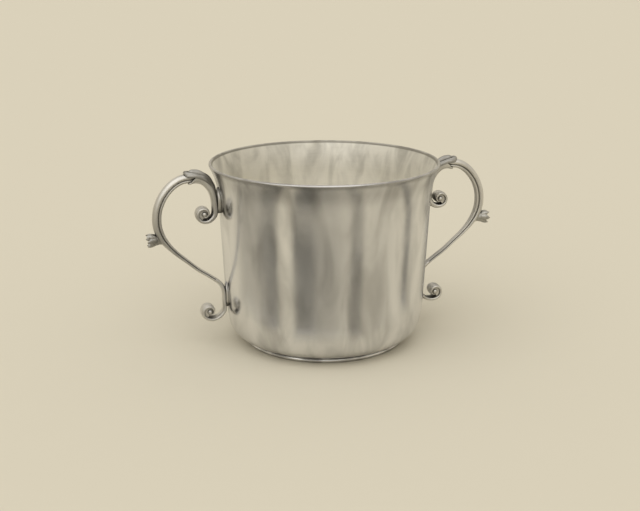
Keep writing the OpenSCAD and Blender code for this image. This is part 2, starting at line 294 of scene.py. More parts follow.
# Seats, ends and eyes of the right handle in the X-Z plane
UPPER_PAD_Z = CUP_H - UPPER_PAD_DROP
UPPER_SEAT = np.array([wall_radius(UPPER_PAD_Z + PAD_H / 2) + PAD_T, UPPER_PAD_Z])
LOWER_SEAT = np.array([wall_radius(LOWER_PAD_Z + PAD_H / 2) + PAD_T, LOWER_PAD_Z])
CALYX = UPPER_SEAT + [SCROLL_REACH, SCROLL_RISE]
TAIL_END = LOWER_SEAT + [TAIL_REACH, TAIL_RISE]
UPPER_EYE = UPPER_SEAT + [UPPER_EYE_OUT, -UPPER_EYE_DROP]
LOWER_EYE = LOWER_SEAT + [LOWER_EYE_OUT, -LOWER_EYE_DROP]
LIMB_SEAT_X = LIMB_T / 2 - FILE_DEPTH
RIBBON_SEAT_X = RIBBON_T / 2 - FILE_DEPTH


def spiral(eye, start_r):
    """A volute about its eye, which eases in from the pad over the lead angle."""
    end_r = EYE_D / 2 + RIBBON_END_T / 2 - EYE_WELD
    points = []
    for turn in np.linspace(0, VOLUTE_ANGLE, SPIRAL_STEPS + 1):
        lead = (start_r - VOLUTE_R) * max(0, 1 - turn / LEAD_ANGLE) ** 2
        r = VOLUTE_R - (VOLUTE_R - end_r) * turn / VOLUTE_ANGLE + lead
        points.append(eye - r * np.array([cosd(turn), sind(turn)]))
    return points


UPPER_SPIRAL = spiral(UPPER_EYE, UPPER_EYE_OUT - LIMB_SEAT_X)
LOWER_SPIRAL = spiral(LOWER_EYE, LOWER_EYE_OUT - RIBBON_SEAT_X)

# Shapes of the limbs as shares of their reach and rise, and of the stem from the tail's end to the calyx
LIMB_SHAPE = [(0.74, 0.985), (0.47, 0.86), (0.27, 0.61), (0.145, 0.28)]
LIMB_PAD_SHARE = -0.3
TAIL_PAD_SHARES = [-0.4, 0.15]
TAIL_SHAPE = [(0.32, 0.55), (0.6, 0.79)]
STEM_SHAPE = [
    (0.28, 0.055), (0.41, 0.112), (0.58, 0.204), (0.716, 0.278), (0.84, 0.36), (0.938, 0.45), (0.99, 0.54),
    (1, 0.63), (0.98, 0.722), (0.925, 0.81), (0.85, 0.882), (0.756, 0.942), (0.642, 0.985),
]

# Centreline of the handle, from the lower eye to the upper eye, in steps from one control point to the next
LOWER_POINTS = (
    LOWER_SPIRAL[::-1]
    + [LOWER_SEAT + [RIBBON_SEAT_X, s * LOWER_EYE_DROP] for s in TAIL_PAD_SHARES]
    + [LOWER_SEAT + [x * TAIL_REACH, z * TAIL_RISE] for x, z in TAIL_SHAPE]
)
STEM_RISE = CALYX[1] - TAIL_END[1]
STEM_START = np.array([LOWER_SEAT[0], TAIL_END[1]])
STEM_POINTS = [STEM_START + [x * STEM_OUT, z * STEM_RISE] for x, z in STEM_SHAPE]
LIMB_POINTS = [UPPER_SEAT + [x * SCROLL_REACH, z * SCROLL_RISE] for x, z in LIMB_SHAPE] + [
    UPPER_SEAT + [LIMB_SEAT_X, LIMB_PAD_SHARE * UPPER_EYE_DROP]
]
CONTROLS = np.array(LOWER_POINTS + [TAIL_END] + STEM_POINTS + [CALYX] + LIMB_POINTS + UPPER_SPIRAL)
TAIL_STEP = len(LOWER_POINTS)
CALYX_STEP = TAIL_STEP + len(STEM_POINTS) + 1
LAST_STEP = len(CONTROLS) - 1


def cubic(step):
    """The four control points round a step, and how far along the middle two it lies."""
    i = min(int(step), LAST_STEP - 1)
    return [CONTROLS[min(max(i + k, 0), LAST_STEP)] for k in (-1, 0, 1, 2)], step - i


def centre(step):
    points, u = cubic(step)
    return blend(*points, u)


def heading(step):
    (a, b, c, d), u = cubic(step)
    way = (c - a) + 2 * (2 * a - 5 * b + 4 * c - d) * u + 3 * (3 * b - a - 3 * c + d) * u**2
    return way / np.linalg.norm(way)


def outward(step):
    """Unit vector square to the centreline, towards the outside of the handle's big loop."""
    x, z = heading(step)
    return np.array([z, -x])


def steps_between(start, end):
    return np.linspace(start, end, round((end - start) * RINGS_PER_STEP) + 1)


# Sections: points are (distance outward, distance across)
def rounded(c):
    return math.copysign(abs(c) ** SQUARENESS, c)


def bar(t, w, shift=0.0, reed=0.0):
    """Rounded bar section with reeds along its edges."""
    points = []
    for i in range(BAR_SIDES):
        a = 360 * (i + 0.5) / BAR_SIDES
        across = rounded(sind(a))
        out = rounded(cosd(a))
        cut = reed * math.exp(-(((abs(across) - REED_PLACE) / REED_SPREAD) ** 2))
        cut = math.copysign(min(cut, REED_LIMIT * abs(out) * t), out)
        points.append((shift + out * t / 2 - cut, w / 2 * across))
    return np.array(points)


def placed(section, at, out):
    """A section set square on the centreline, as points in space."""
    return np.column_stack([at[0] + section[:, 0] * out[0], section[:, 1], at[1] + section[:, 0] * out[1]])


def kept_right_of(ring, x):
    return np.column_stack([np.maximum(ring[:, 0], x), ring[:, 1:]])


# Meshes as (points, faces)
def skin(rings):
    """Solid through rings of points, closed at both ends."""
    n = len(rings[0])
    last = (len(rings) - 1) * n
    faces = [
        (r * n + i, r * n + (i + 1) % n, (r + 1) * n + (i + 1) % n, (r + 1) * n + i)
        for r in range(len(rings) - 1)
        for i in range(n)
    ]
    faces.append(tuple(range(n))[::-1])
    faces.append(tuple(range(last, last + n)))
    return np.concatenate(rings), faces


def turned(profile):
    """Closed profile of (radius, height) points, turned about Z."""
    n = len(profile)
    angles = np.linspace(0, 2 * math.pi, SEGMENTS, endpoint=False)
    points = [(r * math.cos(a), r * math.sin(a), z) for a in angles for r, z in profile]
    faces = [
        (s * n + i, (s + 1) % SEGMENTS * n + i, (s + 1) % SEGMENTS * n + (i + 1) % n, s * n + (i + 1) % n)
        for s in range(SEGMENTS)
        for i in range(n)
    ]
    return np.array(points), faces


def cup_profile():
    """Profile of the cup, from the hub under its bottom, up the outside, over the lip and down the inside."""
    outer = [(r, z) for r, z, lean in OUTLINE]
    thick = [WALL_T + (LIP_T - WALL_T) * max(0, (z - WALL_TOP_Z) / FLARE_H) for r, z, lean in OUTLINE]
    inner = [(r - t * cosd(a), z + t * sind(a)) for (r, z, a), t in zip(OUTLINE, thick)]
    edge = [
        (RIM_D / 2 - LIP_T / 2 + LIP_T / 2 * cosd(a), CUP_H - LIP_T / 2 + LIP_T / 2 * sind(a))
        for a in np.linspace(-LIP_ANGLE, 180 - LIP_ANGLE, ARC_STEPS + 1)[1:-1]
    ]
    floor_radii = np.linspace(HUB_R, FLAT_R, ARC_STEPS)[:-1]
    under = [(r, FOOT_H) for r in floor_radii]
    inside = [(r, FOOT_H + WALL_T) for r in floor_radii[::-1]]
    return under + outer + edge + inner[::-1] + inside


def hammered(points):
    """Points of the cup moved by the hammer's unevenness, which fades out at the bottom and the rim."""
    above = points[:, 2] - FOOT_H - HAMMER_START
    below = RIM_Z - points[:, 2]
    fade = np.clip(above / HAMMER_FADE, 0, 1) * np.clip(below / HAMMER_FADE, 0, 1)
    for p, share in zip(points, fade):
        p[:2] *= 1 + share * HAMMER_DEPTH * noise.noise(Vector(p) / HAMMER_PITCH) / RIM_R
    return points


def body_mesh():
    """The raised cup, closed by a disc in the middle of its bottom, under it and inside."""
    profile = cup_profile()
    rows = len(profile)
    points, faces = turned(profile)
    faces = [f for f in faces if abs(f[0] % rows - f[2] % rows) != rows - 1]
    faces.append(tuple(range(0, len(points), rows))[::-1])
    faces.append(tuple(range(rows - 1, len(points), rows)))
    return hammered(points), faces


def foot_mesh():
    foot_r = FLAT_R + FOOT_OUT
    bulge = [
        (foot_r - FOOT_BULGE + FOOT_BULGE * cosd(a), FOOT_H / 2 * (1 + sind(a)))
        for a in np.linspace(-90, 90, ARC_STEPS + 1)
    ]
    return turned([(foot_r - FOOT_W, 0)] + bulge + [(foot_r - FOOT_W, FOOT_H)])


def pad_mesh(seat):
    """Plate with pointed ends, fitted to the wall behind and softened round its front edge."""
    tip_r = (PAD_H**2 + PAD_W**2) / (4 * PAD_W)
    reach = PAD_H / 2 - PAD_BLUNT
    rings = []
    for z in np.linspace(-reach, reach, PAD_RINGS):
        half = math.sqrt(tip_r**2 - z**2) - tip_r + PAD_W / 2
        edge = min(PAD_EDGE, half / 2)
        across = np.linspace(-half, half, PAD_COLUMNS)
        on_edge = np.clip((abs(across) - half + edge) / edge, 0, 1)
        front = seat[0] - edge * (1 - np.sqrt(1 - on_edge**2))
        back = np.sqrt(wall_radius(seat[1] + z) ** 2 - across**2) - PAD_SINK
        x = np.concatenate([front, back[::-1]])
        y = np.concatenate([across, across[::-1]])
        rings.append(np.column_stack([x, y, np.full(len(x), seat[1] + z)]))
    return skin(rings)


def pearl_mesh(eye):
    """The rod through a volute's eye, with a pearl at each end."""
    pearl_r = PEARL_D / 2
    middle = EYE_W / 2 - PEARL_SINK
    neck = math.degrees(math.asin(EYE_D / PEARL_D))
    half = [
        (pearl_r * sind(a), middle + pearl_r * cosd(a))
        for a in np.linspace(180 - neck, PEARL_POLE, PEARL_RINGS)
    ]
    profile = [(r, -y) for r, y in half[::-1]] + half
    angles = np.linspace(0, 360, PEARL_SIDES, endpoint=False)
    rings = [[(eye[0] + r * cosd(a), y, eye[1] + r * sind(a)) for a in angles] for r, y in profile]
    return skin(rings)


def web_mesh(volute):
    """The web that closes a volute between its turns."""
    turns = np.linspace(0, VOLUTE_ANGLE, SPIRAL_STEPS + 1)
    loop = np.array(volute)[turns > VOLUTE_ANGLE - 360]
    return skin([np.insert(loop, 1, y, axis=1) for y in (-WEB_T / 2, WEB_T / 2)])


# Sizes along the upper scroll, by steps from the calyx
LIMB_STEPS = len(LIMB_POINTS) + 1
RIBBON_STEP = LIMB_STEPS + RIBBON_EASE
UPPER_END = LAST_STEP - CALYX_STEP
NECK_T = (STEM_T + LIMB_T) / 2
CALYX_T = STEM_T + CALYX_LIP + LEAF_CLEAR
CALYX_W = STEM_W + CALYX_LIP
CALYX_OFFSET = (LEAF_CLEAR - CALYX_LIP) / 2
UPPER_THICKNESS = [
    (0, CALYX_T), (1, NECK_T), (2, NECK_T), (4, LIMB_T), (LIMB_STEPS, LIMB_T), (RIBBON_STEP, RIBBON_T),
    (UPPER_END, RIBBON_END_T),
]
UPPER_WIDTH = [
    (0, CALYX_W), (2, LIMB_W), (LIMB_STEPS, LIMB_W), (RIBBON_STEP, RIBBON_W),
    (UPPER_END - END_EASE, RIBBON_W), (UPPER_END, EYE_W),
]
UPPER_SHIFT = [(0, CALYX_OFFSET), (1, 0)]
UPPER_REED = [(LIMB_STEPS, 0), (RIBBON_STEP, REED_DEPTH)]

# Sizes along the lower scroll, by steps from its eye
LOWER_EASE_STEP = SPIRAL_STEPS - RIBBON_EASE
LOWER_THICKNESS = [
    (0, RIBBON_END_T), (LOWER_EASE_STEP, RIBBON_T), (TAIL_STEP - 2, RIBBON_T), (TAIL_STEP, TAIL_T),
]
LOWER_WIDTH = [
    (0, EYE_W), (END_EASE, RIBBON_W), (LOWER_EASE_STEP, RIBBON_W), (SPIRAL_STEPS + 1, LIMB_W),
    (TAIL_STEP, TAIL_W),
]
LOWER_REED = [(SPIRAL_STEPS - 2, REED_DEPTH), (TAIL_STEP - 2, 0)]


def slanted(section, step):
    """A section of the limb, set back near the calyx so that the limb ends on a slant."""
    near = max(0, 1 - step / SLANT_REACH)
    low, high = section[:, 0].min(), section[:, 0].max()
    set_back = CALYX_BACK + CALYX_SLANT * (section[:, 0] - low) / (high - low)
    steps = CALYX_STEP + step + near * set_back
    return np.concatenate([placed(point[None], centre(at), outward(at)) for point, at in zip(section, steps)])


def calyx_rings():
    """The limb's rounded end, which laps a little way over the stem."""
    rings = []
    for a in np.linspace(90, 0, CALYX_RINGS, endpoint=False):
        inset = CALYX_ROUND * (1 - cosd(a))
        section = bar(CALYX_T - 2 * inset, CALYX_W - 2 * inset, CALYX_OFFSET)
        forward = np.insert(heading(CALYX_STEP), 1, 0) * CALYX_ROUND * sind(a)
        rings.append(slanted(section, 0) - forward)
    return rings


def hook_mesh():
    """The tongue that runs on from the limb's underside past the calyx, and peels away from the stem."""
    rings = []
    for along in np.linspace(HOOK_ROOT, -HOOK_L, HOOK_RINGS):
        on_limb = max(0, along)
        past = max(0, -along) / HOOK_L
        under = lookup(UPPER_THICKNESS, on_limb) / 2 - lookup(UPPER_SHIFT, on_limb) - HOOK_SINK * on_limb
        end = max(0, past - 1 + HOOK_ROUND) / HOOK_ROUND
        tip = math.sqrt(max(HOOK_BLUNT, 1 - end**2))
        t = HOOK_T * (1 - HOOK_TAPER * past)
        w = HOOK_W_SHARE * lookup(UPPER_WIDTH, on_limb) * (1 - HOOK_TAPER * past**2)
        section = bar(t * tip, w * (HOOK_END_W + (1 - HOOK_END_W) * tip), t / 2 - under - HOOK_PEEL * past**2)
        at = CALYX_STEP + CALYX_BACK + along
        rings.append(placed(section, centre(at), outward(at)))
    return skin(rings)


def upper_scroll_shells():
    tables = (UPPER_THICKNESS, UPPER_WIDTH, UPPER_SHIFT, UPPER_REED)
    rings = calyx_rings()
    for step in steps_between(0, UPPER_END):
        section = bar(*(lookup(table, step) for table in tables))
        rings.append(kept_right_of(slanted(section, step), UPPER_SEAT[0]))
    return [skin(rings), hook_mesh(), web_mesh(UPPER_SPIRAL), pearl_mesh(UPPER_EYE)]


def lower_scroll_shells():
    rings = []
    for step in steps_between(0, TAIL_STEP):
        reed = lookup(LOWER_REED, step)
        section = bar(lookup(LOWER_THICKNESS, step), lookup(LOWER_WIDTH, step), reed=reed)
        rings.append(kept_right_of(placed(section, centre(step), outward(step)), LOWER_SEAT[0]))
    return [skin(rings), web_mesh(LOWER_SPIRAL), pearl_mesh(LOWER_EYE)]


# Half of the stem's section, as shares of its thickness and width: outer lobe, groove and inner bead
STEM_HALF = [
    (0.5, 0.13), (0.4, 0.34), (0.22, 0.47), (0.05, 0.5), (-0.06, 0.43),
    (-0.13, 0.3), (-0.21, 0.36), (-0.34, 0.37), (-0.45, 0.27), (-0.5, 0.1),
]

# How far the stem has swelled from its tail to its full section, by steps from the tail's end
SWELL = [(0, 0), (3, 0.06), (4, 0.18), (5, 0.4), (6, 0.85), (7, 1)]


def stem_section():
    """Smooth closed curve through the stem's half section and its mirror."""
    corners = np.array(STEM_HALF + [(t, -w) for t, w in STEM_HALF[::-1]])
    fine = []
    for i in range(len(corners)):
        near = [corners[(i + k) % len(corners)] for k in (-1, 0, 1, 2)]
        for u in np.linspace(0, 1, STEM_POINTS_PER_CORNER, endpoint=False):
            fine.append(blend(*near, u))
    return np.array(fine)


def stem_size(step):
    """Thickness and width of the stem at a step from the tail's end."""
    share = lookup(SWELL, step)
    return TAIL_T + share * (STEM_T - TAIL_T), TAIL_W + share * (STEM_W - TAIL_W)


def stem_mesh():
    """The grooved bar, which tapers into the limb past the calyx."""
    section = stem_section()
    end = CALYX_STEP - TAIL_STEP
    rings = []
    for step in steps_between(0, end + STEM_TUCK):
        at = TAIL_STEP + step
        taper = 1 - (1 - TUCK_SHARE) * max(0, step - end) / STEM_TUCK
        rings.append(placed(taper * section * stem_size(step), centre(at), outward(at)))
    return skin(rings)


# Shape of the leaf from its rolled tip (0) to its root (1): shares of its thickness and of its half width
LEAF_FULLNESS = [
    (0, 0.3), (0.04, 0.65), (0.09, 0.9), (0.16, 1.1), (0.24, 1.28), (0.36, 1.35), (0.5, 1.25), (0.8, 0.68),
    (1, 0.2),
]
LEAF_SPREAD = [(0, 0.95), (0.4, 1), (0.6, 0.95), (1, 0.4)]
LEAF_EASE = 0.015

# Shares of the leaf's length past the calyx and round its tip, and of its width left at the very end
TIP_SHARE = 0.12
TIP_ROUND = 0.28
TIP_END = 0.08
# How far the tip lifts, as a share of its length
TIP_LIFT = 0.2

# Cross-section of the leaf, as shares of its half width and of its height
LEAF_EDGE = 0.12
MIDRIB_HALF = 0.43
RIB_DEPTH = 0.05
ROLL_PLACE = 0.75
ROLL_HALF = 0.25
ROLL_H = 0.65
TIP_ROLL_H = 0.95
# Least height of the limb's crown under the leaf, as a share of its half thickness
LEAF_SHOULDER = 0.5


def eased(table, x):
    """Value at x in a table of (x, value) rows, averaged over a little way on each side."""
    near = x + np.linspace(-LEAF_EASE, LEAF_EASE, LEAF_EASE_POINTS)
    return float(np.interp(near, *zip(*table)).mean())


def crown(share):
    """Height of a rounded bar's face at a share of its half width."""
    return (1 - min(1, share) ** (2 / SQUARENESS)) ** (SQUARENESS / 2)


def dome(x, middle, half):
    return math.sqrt(max(0, 1 - ((x - middle) / half) ** 2))


def leaf_height(across, end, full, along):
    """Thickness of the leaf: a midrib with low slanting ribs, in a rolled edge that goes round the tip."""
    from_middle = math.hypot(end, across * math.sqrt(1 - end**2))
    rib = RIB_DEPTH * (1 + cosd(360 * (LEAF_LOBES * along - abs(across))))
    roll = (ROLL_H + (TIP_ROLL_H - ROLL_H) * end) * dome(from_middle, ROLL_PLACE, ROLL_HALF)
    return full * max(LEAF_EDGE, dome(from_middle, 0, MIDRIB_HALF), roll) * (1 - rib)


def leaf_ring(along):
    """Ring of the leaf at a share of the way from its tip to its root."""
    past = max(0, 1 - along / TIP_SHARE)
    end = max(0, 1 - along / TIP_ROUND)
    step = LEAF_STEPS * max(0, (along - TIP_SHARE) / (1 - TIP_SHARE))
    at = CALYX_STEP + step
    t, w = lookup(UPPER_THICKNESS, step), lookup(UPPER_WIDTH, step)
    low = lookup(UPPER_SHIFT, step) + past * (LEAF_CLEAR + TIP_LIFT * LEAF_TIP * past)
    full = LEAF_T * eased(LEAF_FULLNESS, along)
    half = (w / 2 + LEAF_OUT) * eased(LEAF_SPREAD, along) * max(TIP_END, math.sqrt(1 - end**2))
    below, above = [], []
    for across in np.sin(np.linspace(-math.pi / 2, math.pi / 2, LEAF_COLUMNS)):
        out = low + t / 2 * max(LEAF_SHOULDER, crown(abs(half * across) / (w / 2)))
        below.append((out, half * across))
        above.append((out + leaf_height(across, end, full, along), half * across))
    place = centre(at) - heading(at) * LEAF_TIP * past
    return placed(np.array(above + below[::-1]), place, outward(at))


def leaf_mesh():
    """Leaf that caps the limb and overhangs its sides; past the calyx its rolled tip lifts off the stem."""
    round_tip = TIP_ROUND * (1 - np.cos(np.linspace(0, math.pi / 2, TIP_RINGS)))
    rest = np.linspace(TIP_ROUND, 1, LEAF_RINGS)[1:]
    return skin([leaf_ring(along) for along in np.concatenate([round_tip, rest])])


# Rings of the bud, up the outside and down the inside: shares of its length, its radius and the petals' cut
BUD_ROWS = [
    (-0.08, 1.08, 0), (0.03, 0.9, 0), (0.12, 0.8, 0), (0.3, 0.82, 0), (0.6, 0.98, 0.1), (0.82, 1, 0.5),
    (1, 0.92, 1), (0.96, 0.78, 1), (0.78, 0.66, 0.5), (0.58, 0.5, 0.1),
]


def bud_seat():
    """Middle of the bud's base, and the way square to the stem there."""
    at = TAIL_STEP + BUD_STEP
    out = outward(at)
    return centre(at) + out * (stem_size(BUD_STEP)[0] / 2 - BUD_FILE_DEPTH), out


def bud_ring(length, radius, cut):
    """Ring of the bud, which lies along the stem at the base and square to the bud from its waist up."""
    seat, out = bud_seat()
    upright = math.degrees(math.atan2(out[1], out[0]))
    axis = np.array([cosd(upright + BUD_LIFT), sind(upright + BUD_LIFT)])
    risen = min(1, max(0, length / BUD_WAIST))
    lean = upright + risen * BUD_LIFT
    narrow = BUD_BASE_SHARE + (1 - BUD_BASE_SHARE) * risen
    ring = []
    for a in np.linspace(0, 360, BUD_SIDES, endpoint=False):
        seam = abs(cosd(a * BUD_PETALS / 2))
        r = radius * BUD_D / 2 * (1 - CREASE_DEPTH * seam**CREASE_SHARPNESS * risen)
        height = length * BUD_L - PETAL_CUT * cut * seam**PETAL_POINT
        at = seat + height * axis + r * cosd(a) * np.array([sind(lean), -cosd(lean)])
        ring.append((at[0], narrow * r * sind(a), at[1]))
    return np.array(ring)


def bud_mesh():
    """The bud, whose base spreads along the stem and whose petals end in points."""
    rows = np.array(BUD_ROWS)
    last = len(rows) - 1
    places = np.linspace(0, last, BUD_RINGS_PER_ROW * last + 1)
    fine = np.column_stack([np.interp(places, range(len(rows)), column) for column in rows.T])
    return skin([bud_ring(*row) for row in fine])


# Silver
def ramp(tree, value, low, high):
    """Value taken from 0 at low to 1 at high."""
    node = tree.nodes.new("ShaderNodeMapRange")
    node.interpolation_type = "SMOOTHSTEP"
    node.inputs["From Min"].default_value = low
    node.inputs["From Max"].default_value = high
    tree.links.new(value, node.inputs["Value"])
    return node.outputs["Result"]


def noise_of(tree, stretch, scale, detail, swirl=0.0):
    """Noise in the part's own frame, stretched along each axis."""
    place = tree.nodes.new("ShaderNodeTexCoord")
    mapping = tree.nodes.new("ShaderNodeMapping")
    mapping.inputs["Scale"].default_value = stretch
    texture = tree.nodes.new("ShaderNodeTexNoise")
    texture.inputs["Scale"].default_value = scale
    texture.inputs["Detail"].default_value = detail
    texture.inputs["Distortion"].default_value = swirl
    tree.links.new(place.outputs["Object"], mapping.inputs["Vector"])
    tree.links.new(mapping.outputs["Vector"], texture.inputs["Vector"])
    return texture.outputs["Fac"]


def math_of(tree, operation, a, b):
    """Sum, difference or product of two values, kept between 0 and 1."""
    node = tree.nodes.new("ShaderNodeMath")
    node.operation = operation
    node.use_clamp = True
    for socket, value in zip(node.inputs, (a, b)):
        if isinstance(value, (int, float)):
            socket.default_value = value
        else:
            tree.links.new(value, socket)
    return node.outputs["Value"]


def part_of(tree, value, share):
    return math_of(tree, "MULTIPLY", value, share)


def mix_of(tree, factor, start, end):
    """Colour that goes from one to another."""
    node = tree.nodes.new("ShaderNodeMix")
    node.data_type = "RGBA"
    node.inputs["A"].default_value = (*start, 1)
    node.inputs["B"].default_value = (*end, 1)
    tree.links.new(factor, node.inputs["Factor"])
    return node.outputs["Result"]


def height_of(tree, coordinates):
    place = tree.nodes.new("ShaderNodeTexCoord")
    parts = tree.nodes.new("ShaderNodeSeparateXYZ")
    tree.links.new(place.outputs[coordinates], parts.inputs["Vector"])
    return parts.outputs["Z"]


def hollow_of(tree, size):
    """How sheltered each point is by what stands within a distance of it."""
    shelter = tree.nodes.new("ShaderNodeAmbientOcclusion")
    shelter.inputs["Distance"].default_value = size * MM
    return ramp(tree, shelter.outputs["AO"], *HOLLOW_RANGE)


def painted_shade_and_lip_wear(tree, shade_bands):
    """Painted shade in bands of (share, height where it starts, height where it is full), lightened at the
    crest of the lip as by wear.
    """
    height = height_of(tree, "Object")
    total = 0.0
    for share, start, full in shade_bands:
        total = math_of(tree, "ADD", part_of(tree, ramp(tree, height, start * MM, full * MM), share), total)
    worn_lip = ramp(tree, height, (CUP_H - LIP_T / 2) * MM, CUP_H * MM)
    return math_of(tree, "SUBTRACT", total, part_of(tree, worn_lip, LIP_WEAR))


def uneven_gloss(tree, hollow, least, most):
    """Roughness with wiped patches and fine polishing lines, and duller hollows."""
    wiped = part_of(tree, noise_of(tree, **WIPED), 1 - LINE_SHARE)
    lines = part_of(tree, noise_of(tree, **LINES), LINE_SHARE)
    uneven = math_of(tree, "ADD", wiped, lines)
    gloss = tree.nodes.new("ShaderNodeMapRange")
    gloss.inputs["From Min"].default_value = GLOSS_RANGE[0]
    gloss.inputs["From Max"].default_value = GLOSS_RANGE[1]
    gloss.inputs["To Min"].default_value = least
    gloss.inputs["To Max"].default_value = most
    tree.links.new(math_of(tree, "ADD", uneven, part_of(tree, hollow, HOLLOW_DULLING)), gloss.inputs["Value"])
    return gloss.outputs["Result"]


def faint_dents(tree):
    bump = tree.nodes.new("ShaderNodeBump")
    bump.inputs["Strength"].default_value = DENT_STRENGTH
    bump.inputs["Distance"].default_value = DENT_DEPTH * MM
    tree.links.new(noise_of(tree, **DENTS), bump.inputs["Height"])
    return bump.outputs["Normal"]


def silver(name, clean, darkest, roughness, bloom, hollow_tarnish_and_shade, shade_bands=(), streaks=75, hollow_size=3):
    """Old silver, with a bloom of tarnish in streaks, hollows darkened partly by tarnish and partly as
    painted shade, and bands of painted shade by height.
    """
    material = bpy.data.materials.new(name)
    material.use_nodes = True
    tree = material.node_tree
    shader = tree.nodes["Principled BSDF"]
    shader.inputs["Metallic"].default_value = 1
    hollow = hollow_of(tree, hollow_size)
    cloud = ramp(tree, noise_of(tree, scale=streaks, **BLOOM), *BLOOM_RANGE)
    # Darkening towards the darkest colour: tarnish in streaks, tarnish and painted shade in hollows, and
    # painted shade in bands
    darkening = math_of(tree, "ADD", part_of(tree, cloud, bloom), part_of(tree, hollow, hollow_tarnish_and_shade))
    if shade_bands:
        darkening = math_of(tree, "ADD", darkening, painted_shade_and_lip_wear(tree, shade_bands))
    tree.links.new(mix_of(tree, darkening, clean, darkest), shader.inputs["Base Color"])
    tree.links.new(uneven_gloss(tree, hollow, *roughness), shader.inputs["Roughness"])
    tree.links.new(faint_dents(tree), shader.inputs["Normal"])
    return material


def plain(name, colour):
    """A dull material of one colour."""
    material = bpy.data.materials.new(name)
    material.use_nodes = True
    shader = material.node_tree.nodes["Principled BSDF"]
    shader.inputs["Base Color"].default_value = (*colour, 1)
    shader.inputs["Roughness"].default_value = DULL
    shader.inputs["Specular IOR Level"].default_value = DULL_SPECULAR
    return material


# Objects
def mesh_of(points, faces, material):
    mesh = bpy.data.meshes.new(material.name)
    mesh.from_pydata((np.asarray(points) * MM).tolist(), [], faces)
    shell = bmesh.new()
    shell.from_mesh(mesh)
    bmesh.ops.recalc_face_normals(shell, faces=shell.faces)
    shell.to_mesh(mesh)
    shell.free()
    mesh.materials.append(material)
    return mesh


def add_object(name, data):
    obj = bpy.data.objects.new(name, data)
    bpy.context.scene.collection.objects.link(obj)
    return obj


def welded(shells, material):
    """Closed shells that overlap, made into one smooth skin."""
    whole, *others = [add_object("shell", mesh_of(*shell, material)) for shell in shells]
    for other in others:
        weld = whole.modifiers.new("weld", "BOOLEAN")
        weld.operation = "UNION"
        weld.solver = "MANIFOLD"
        weld.object = other
    mesh = bpy.data.meshes.new_from_object(whole.evaluated_get(bpy.context.evaluated_depsgraph_get()))
    for shell in (whole, *others):
        bpy.data.objects.remove(shell)
    mesh.shade_smooth()
    mesh.set_sharp_from_angle(angle=math.radians(SHARP_ANGLE))
    return mesh


def half_turn(mesh):
    """The same mesh for the left handle, turned about the cup's axis."""
    left = mesh.copy()
    left.transform(Matrix.Diagonal((-1, -1, 1, 1)))
    return left


def add_piece(node, mesh):
    """A fine mesh that stands for a node of the part."""
    obj = add_object(node + "_fine", mesh)
    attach(obj, "root")
    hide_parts(node)
    return obj


def line_cup(body, material):
    """Give the inside of the cup a material of its own, a lighter copy of the silver with painted light."""
    body.data.materials.append(material)
    for face in body.data.polygons:
        x, y, z = face.normal
        inward = x * face.center.x + y * face.center.y < 0
        bottom = z > BOTTOM_NORMAL and face.center.z < BELLY_Z * MM
        face.material_index = int(inward or bottom)


# Studio
def towards_camera(bearing, distance, height):
    """Place at a bearing from the camera's side of the cup, with bearings growing to the camera's right."""
    a = CAMERA_BEARING + bearing
    return Vector((distance * sind(a), -distance * cosd(a), height))


def aimed(obj, way):
    """Point a lamp or the camera along a way."""
    obj.rotation_mode = "QUATERNION"
    obj.rotation_quaternion = way.to_track_quat("-Z", "Y")


def add_sun(name, bearing, height, spread, strength):
    """A soft lamp far off, so that it lights the whole floor alike."""
    data = bpy.data.lights.new(name, "SUN")
    data.angle = math.radians(spread)
    data.energy = strength
    aimed(add_object(name, data), -towards_camera(bearing, cosd(height), sind(height)))


def soft_felt():
    """Grey felt, as thick at each point as the screen says."""
    material = plain("felt", FELT)
    tree = material.node_tree
    cover = tree.nodes.new("ShaderNodeAttribute")
    cover.attribute_name = "cover"
    tree.links.new(cover.outputs["Fac"], tree.nodes["Principled BSDF"].inputs["Alpha"])
    return material


# Profile of the screens, from the floor near the cup and up: distance past their own, height, share of felt
SCREEN_PROFILE = [(-26, 0.5, 0), (-12, 0.5, 0.55), (0, 1, 0.9), (0, 28, 1), (0, 44, 1), (0, 110, 0)]

# How thickly the screens hang at each bearing from the camera
SCREEN_COVER = [
    (-90, 0.3), (-80, 0.42), (-62, 0.45), (-49, 0.74), (-40, 0.81), (-36.5, 0), (-26.5, 0), (-22, 0.8),
    (-11, 0.82), (-4, 0.55), (6, 0.48), (18, 0.22), (21, 0.62), (28, 0.62), (32, 0.1), (46, 0.2), (66, 0.05),
    (75, 0), (79, 0.85), (83, 0.85), (87, 0.2),
]


def add_screen(name, facing, reach, material):
    """A curved screen of soft grey felt, round one side of the cup, that shows only in its reflections."""
    bearings = np.linspace(-reach, reach, reach + 1)
    distances = SCREEN_NEAR + (SCREEN_FAR - SCREEN_NEAR) * np.sin(np.radians(bearings)) ** 4
    points = [
        towards_camera(facing + bearing, distance + past, z)
        for past, z, _ in SCREEN_PROFILE
        for bearing, distance in zip(bearings, distances)
    ]
    n = len(bearings)
    faces = [
        (r * n + i, r * n + i + 1, (r + 1) * n + i + 1, (r + 1) * n + i)
        for r in range(len(SCREEN_PROFILE) - 1)
        for i in range(n - 1)
    ]
    screen = add_object(name, mesh_of(points, faces, material))
    cover = screen.data.attributes.new("cover", "FLOAT", "POINT")
    ends = np.clip((reach - abs(bearings)) / SCREEN_FADE, 0, 1)
    across = np.interp(bearings, *zip(*SCREEN_COVER)) * ends
    cover.data.foreach_set("value", [share * thick for *_, share in SCREEN_PROFILE for thick in across])
    screen.visible_camera = False
    screen.visible_diffuse = False
    screen.visible_shadow = False


def add_floor():
    angles = np.linspace(0, 360, FLOOR_SIDES, endpoint=False)
    corners = [(FLOOR_R * cosd(a), FLOOR_R * sind(a), 0) for a in angles]
    paper = plain("paper", PAPER)
    add_object("floor", mesh_of(corners, [tuple(range(len(corners)))], paper))


